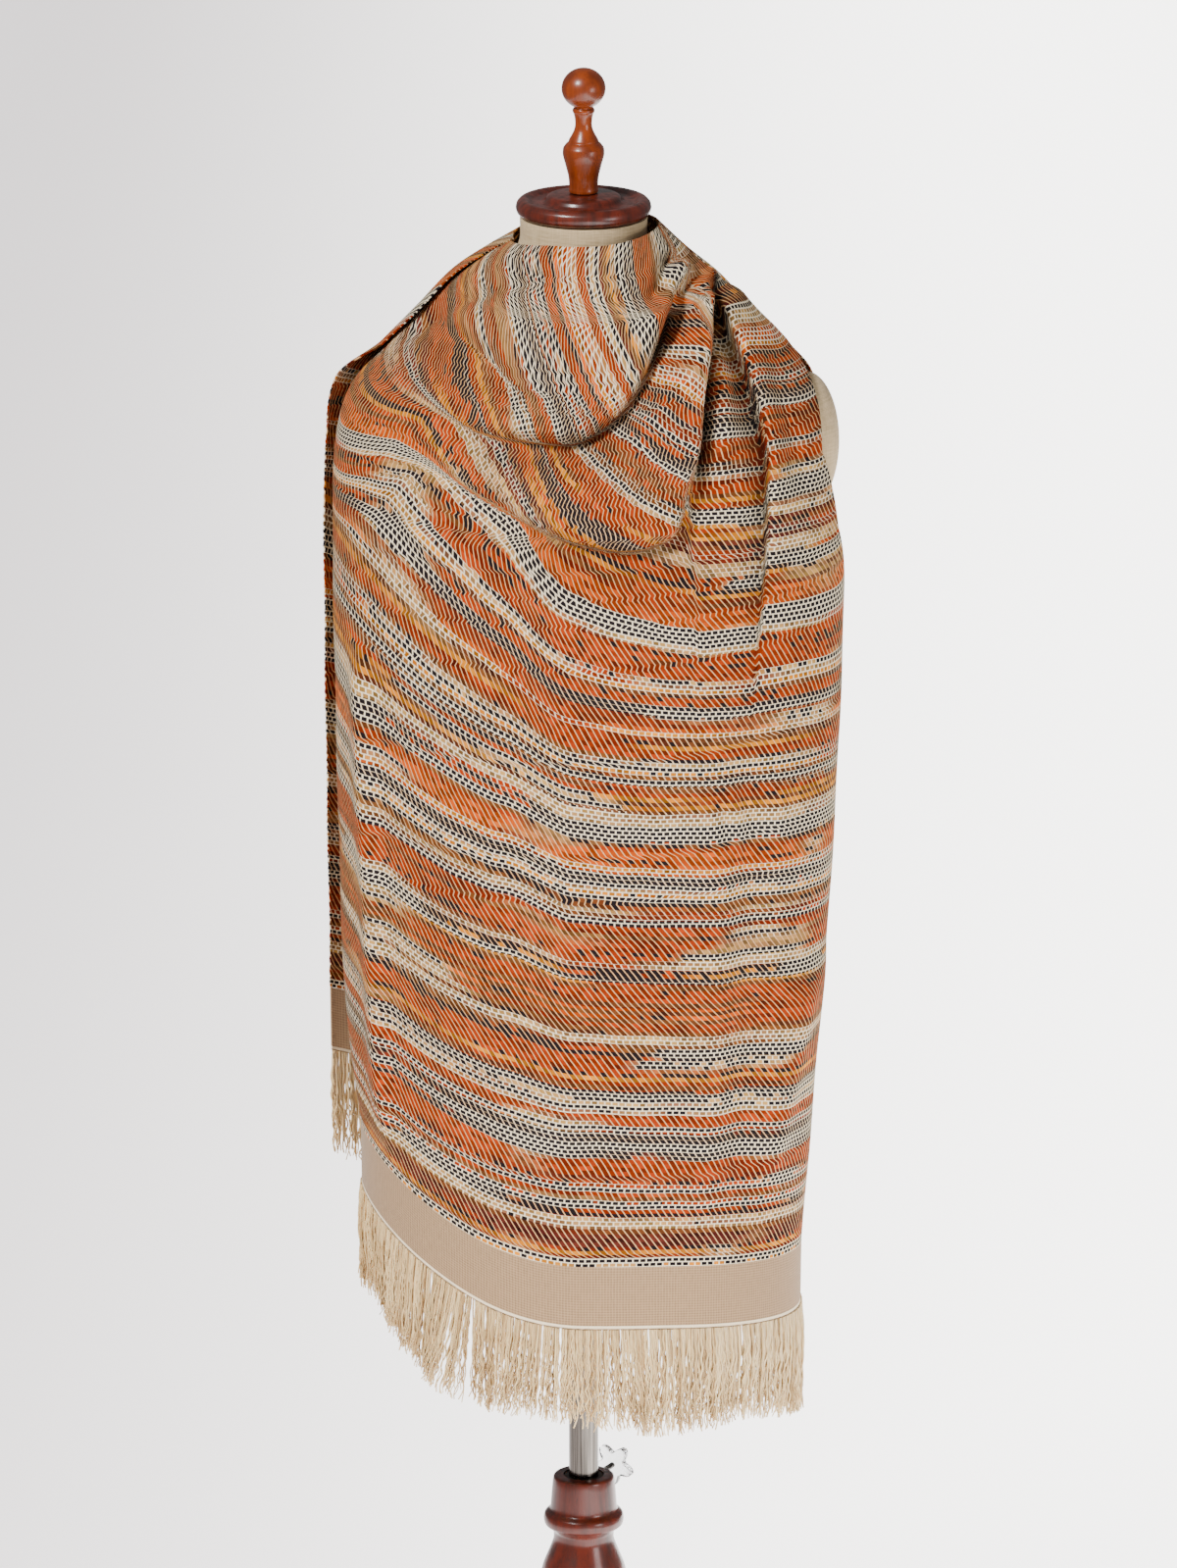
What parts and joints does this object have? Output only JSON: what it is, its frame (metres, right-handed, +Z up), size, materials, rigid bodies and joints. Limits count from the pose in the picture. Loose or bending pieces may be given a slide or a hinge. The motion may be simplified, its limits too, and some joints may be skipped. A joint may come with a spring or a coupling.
{
  "type": "pashmina shawl on a dress form",
  "caption": "Striped woven shawl with plain end bands and fringe, gathered on one shoulder of a limbless dress form on a turned wooden stand.",
  "frame": {"origin": "centre of the underside of the stand's round base, on the floor", "axes": "+Z up along the pole, the form faces -Y, +X to the right of someone who faces it"},
  "size_m": [0.4483, 0.33, 1.6134],
  "materials": {
    "striped_wool": "soft matte hand-woven wool, staggered weft dashes in rust, orange, cream and near-black stripes",
    "cream_wool": "plain fine weave, undyed cream",
    "fringe_yarn": "loose wavy undyed yarn",
    "form_linen": "taut natural linen",
    "red_wood": "glossy dark red-brown stained wood",
    "brown_wood": "glossy orange-brown stained wood",
    "plated_steel": "brushed plated steel tube",
    "dark_sleeve": "dark matte guide sleeve",
    "clear_plastic": "clear moulded plastic"
  },
  "bodies": {
    "stand": {"base": "red_wood", "column": "red_wood", "column_sleeve": "dark_sleeve"},
    "clamp": {"clamp_screw": "plated_steel", "clamp_knob": "clear_plastic"},
    "pole": {"pole": "plated_steel"},
    "form": {"torso": "form_linen", "shoulder_cap_right": "form_linen", "shoulder_cap_left": "form_linen", "neck_cap": "red_wood", "finial": "brown_wood", "bottom_plate": "red_wood", "pole_socket": "plated_steel", "front_drape": "striped_wool", "back_drape": "striped_wool", "front_end_band": "cream_wool", "back_end_band": "cream_wool", "front_fringe": "fringe_yarn", "back_fringe": "fringe_yarn"}
  },
  "joints": [
    {"name": "clamp_turn", "type": "hinge", "parent": "stand", "child": "clamp", "pos_m": [0, 0, 0.341], "axis": [0.4617, 0.887, 0], "continuous": true},
    {"name": "pole_height", "type": "slide", "parent": "stand", "child": "pole", "axis": [0, 0, 1], "range_m": [-0.05, 0.12]},
    {"name": "form_turn", "type": "hinge", "parent": "pole", "child": "form", "pos_m": [0, 0, 0.7], "axis": [0, 0, 1], "continuous": true}
  ]
}
